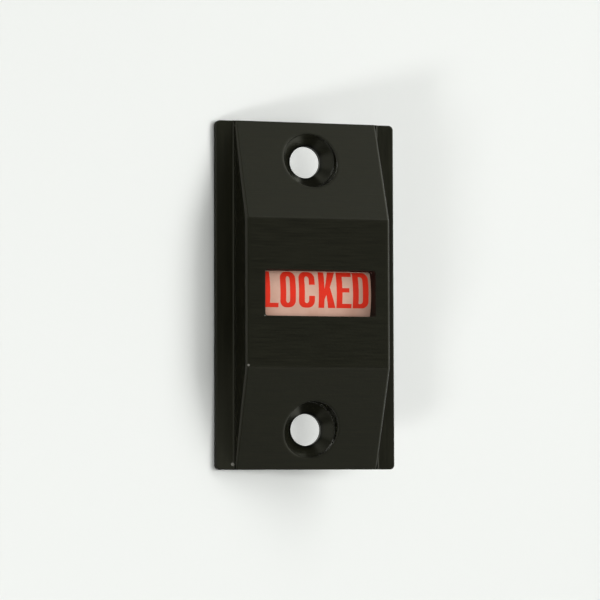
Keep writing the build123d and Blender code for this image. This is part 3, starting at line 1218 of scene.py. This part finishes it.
@dataclass(frozen=True)
class Board:
    """The white board on which the object's left edge lies, sloped, with a cut-out for the mechanism.

    Sizes are in millimetres. The cut-out and the footprint are each half a width and half a length. The glow
    behind the screw holes fades over two spans, each measured from the middle of a hole as it is seen.
    """
    white: Colour = PAPER_WHITE
    fibrous: Colour = srgb(242, 244, 241)
    paper: float = 0.858
    mirrored: Colour = (0.42, 0.42, 0.41)
    fibres: Grain = Grain(scale=2.5)
    rough: float = 0.9
    slope: float = 0.40
    edge: float = 20.4
    reach: float = 900.0
    cutout: Point = (17.5, 22.0)
    footprint: Point = (19.5, 37.0)
    recess: float = 7.0
    glow: float = 0.50
    glow_depth: float = 1.0
    hole_right: float = 3.0
    hole_up: float = 29.4
    hole_width: Span = (5.2, 7.0)
    hole_height: Span = (4.5, 6.5)

    def depth_at(self, x: float) -> float:
        """How far back the board is at a place across."""
        return self.slope * (x + self.edge)

    def material(self) -> bpy.types.Material:
        """Pale paper to the camera from the front, and clear from behind.

        Under the object it is clear to all other light, so that this reaches the object's back, and it glows
        where the camera sees it through the screw holes. To gloss it is darker.

        Returns:
            The material.
        """
        graph, place = Graph.on_piece("board")
        across, depth, up = graph.split(place)
        seen = graph.ray("Is Camera Ray")
        half_width, half_length = self.footprint
        under = (abs(across) < half_width) * (abs(up) < half_length)
        from_behind = graph.node("ShaderNodeNewGeometry", output="Backfacing")
        gone = graph.maths("MAXIMUM", from_behind, under * (1 - seen))
        fresh, fibrous = (tuple(self.paper * part for part in shade) for shade in (self.white, self.fibrous))
        colour = graph.mix(graph.noise(place, self.fibres), fresh, fibrous)
        colour = graph.mix(graph.ray("Is Glossy Ray"), colour, self.mirrored)
        beside = abs(across - self.hole_right).between(*self.hole_width)
        above = abs(abs(up) - self.hole_up).between(*self.hole_height)
        in_front = depth - self.slope * across < self.depth_at(0) + self.glow_depth
        through = (1 - beside) * (1 - above) * in_front
        light = graph.mix(seen * through, (0, 0, 0), self.white)
        face = graph.node("ShaderNodeBsdfPrincipled", {}, {
            "Base Color": colour, "Roughness": self.rough, "Specular IOR Level": 0.0,
            "Emission Color": light, "Emission Strength": self.glow})
        clear = graph.node("ShaderNodeBsdfTransparent")
        graph.place("ShaderNodeOutputMaterial", {},
                    {"Surface": graph.node("ShaderNodeMixShader", {}, {0: gone, 1: face, 2: clear})})
        return graph.owner

    def build(self) -> bpy.types.Object:
        """Adds the board, and behind its cut-out a second sheet as large as the object.

        Returns:
            The board.
        """
        half_width, half_length = self.cutout
        columns = (-self.reach, -half_width, half_width, self.reach)
        rows = (-self.reach, -half_length, half_length, self.reach)
        corners = [(x, self.depth_at(x), z) for z in rows for x in columns]
        quads = [(4 * row + column, 4 * row + column + 1, 4 * row + column + 5, 4 * row + column + 4)
                 for row in range(3) for column in range(3) if (row, column) != (1, 1)]
        wide, long = self.footprint
        quads.append(tuple(range(len(corners), len(corners) + 4)))
        corners += [(x, self.depth_at(x) + self.recess, z)
                    for x, z in ((-wide, -long), (wide, -long), (wide, long), (-wide, long))]
        mesh = bpy.data.meshes.new("board")
        mesh.from_pydata([Vector(corner) * MM for corner in corners], [], quads)
        mesh.materials.append(self.material())
        sheet = bpy.data.objects.new("board", mesh)
        bpy.context.scene.collection.objects.link(sheet)
        return sheet


@dataclass(frozen=True)
class Glint:
    """A soft bright patch of the room that gloss picks up."""
    aim: Triple
    level: float
    width: float


@dataclass(frozen=True)
class Room:
    """What is round the board: white to the camera, a soft tent to light, and to gloss a shaded one.

    Behind the board it has one even level. The shaded tent has a level, rises upwards, arches towards the
    floor and the roof, ends in two dark caps and is dark on the camera's side. A span is of a part of the
    direction, or of one less the cosine of an angle.
    """
    white: Colour = PAPER_WHITE
    tent: float = 0.22
    behind: float = 0.72
    behind_span: Span = (0.0, 0.6)
    level: float = 0.60
    rise: float = 0.26
    arch: float = 1.22
    opening: float = 0.05
    opening_aim: Triple = (-0.26, -0.966, 0.02)
    opening_span: Span = (0.02, 0.90)
    floor_cap: Span = (0.67, 0.77)
    roof_cap: Span = (0.77, 0.84)
    cap_share: float = 0.95
    glint_core: float = 0.02
    glints: tuple[Glint, ...] = (
        Glint((0.92, -0.38, 0.08), 1.0, 0.12), Glint((-0.69, -0.72, 0.06), 0.40, 0.10),
    )

    def shine(self, graph: Graph, direction: Signal) -> Signal:
        """How bright the room is to gloss.

        Args:
            graph: the room's tree.
            direction: the way that is looked.

        Returns:
            The strength.
        """
        _, _, up = graph.split(direction)
        off_opening = 1 - graph.vector_maths("DOT_PRODUCT", direction, self.opening_aim)
        shine = graph.pick(off_opening.between(*self.opening_span), self.opening,
                           self.level + self.rise * up + self.arch * abs(up))
        for glint in self.glints:
            off_glint = 1 - graph.vector_maths("DOT_PRODUCT", direction, glint.aim)
            shine = shine + glint.level * (1 - off_glint.between(self.glint_core, glint.width))
        caps = up.between(*self.roof_cap) + (-up).between(*self.floor_cap)
        return shine * (1 - self.cap_share * caps)

    def build(self) -> str:
        """Makes the room the scene's world.

        Returns:
            The room's name.
        """
        room = bpy.data.worlds.new("room")
        bpy.context.scene.world = room
        graph = Graph(room)
        direction = graph.node("ShaderNodeTexCoord", output="Generated")
        _, depth, _ = graph.split(direction)
        straight = graph.maths("MAXIMUM", graph.ray("Is Camera Ray"), graph.ray("Is Transmission Ray"))
        front = graph.pick(graph.ray("Is Glossy Ray"), self.tent, self.shine(graph, direction))
        soft = graph.pick(depth.between(*self.behind_span), front, self.behind)
        strength = graph.pick(straight, soft, 1.0)
        ground = graph.node("ShaderNodeBackground", {}, {"Color": self.white, "Strength": strength})
        graph.place("ShaderNodeOutputWorld", {}, {"Surface": ground})
        return room.name


@dataclass(frozen=True)
class Studio:
    """The room, the board, the lamps and the camera."""
    room: Room = Room()
    board: Board = Board()
    camera: Viewpoint = Viewpoint()
    lamps: tuple[SoftBox, ...] = (
        SoftBox("lamp_low_left", -37.5, -26, 0.14, 2.1, Lit.BOARD),
        SoftBox("lamp_level", 28, 0, 0.60, 2.35, Lit.BOARD, tall=0.35),
        SoftBox("lamp_tall", 55, 19, 0.58, 8.6, Lit.BOARD, tall=3.2, distance=1.1),
        SoftBox("lamp_front", -14, 0, 0.34, 2.8, Lit.OBJECT, gloss=False),
        SoftBox("lamp_right", 56, 14, 0.40, 3.0, Lit.OBJECT, tall=1.5, gloss=False),
        SoftBox("lamp_back_left", -140, 30, 0.50, 1.6),
        SoftBox("lamp_back_right", 130, -15, 0.50, 1.3),
    )

    def build(self) -> list[str]:
        """Adds the room, the board, the lamps and the camera.

        Returns:
            Their names.
        """
        bpy.context.scene.view_settings.view_transform = "Standard"
        room = self.room.build()
        board = self.board.build()
        return [room, board.name, *(lamp.build(board) for lamp in self.lamps), self.camera.build()]


def main() -> None:
    """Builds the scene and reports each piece."""
    logging.basicConfig(level=logging.INFO, format="%(message)s")
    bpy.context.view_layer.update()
    for part in (Studio(), Plate(), Carrier(), Pivot(), Drum(), Crank()):
        for piece in part.build():
            LOG.info("%s: %s", type(part).__name__, piece)


if __name__ == "__main__":
    main()
